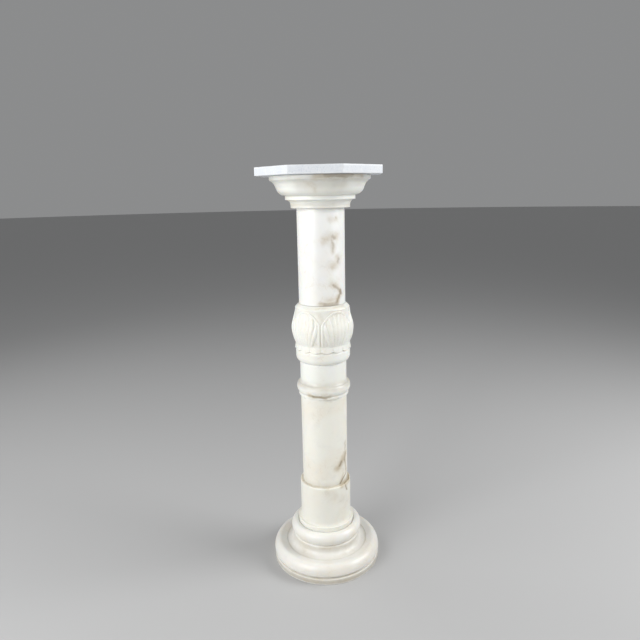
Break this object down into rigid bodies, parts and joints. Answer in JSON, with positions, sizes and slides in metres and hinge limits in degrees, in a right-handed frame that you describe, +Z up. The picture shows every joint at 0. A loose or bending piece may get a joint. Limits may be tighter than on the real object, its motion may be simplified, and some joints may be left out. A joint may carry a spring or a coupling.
{
  "type": "pedestal column",
  "caption": "Round alabaster pedestal column with a moulded base and capital, an astragal ring, a carved leaf collar and an octagonal marble top slab.",
  "frame": {"origin": "middle of the underside of the base", "axes": "+Z up along the column's axis; the front faces -Y, and two flats of the top slab face -Y and +Y"},
  "size_m": [0.283, 0.283, 1],
  "materials": {
    "alabaster": "worn polish, cream, faintly waxy",
    "veined_alabaster": "worn polish, cream with brown veins and stains",
    "white_marble": "honed, sugary white"
  },
  "bodies": {
    "root": {"base": "alabaster", "lower_shaft": "veined_alabaster", "middle_shaft": "alabaster", "leaf_collar": "alabaster", "upper_shaft": "veined_alabaster", "capital": "alabaster", "top_slab": "white_marble"}
  },
  "joints": []
}
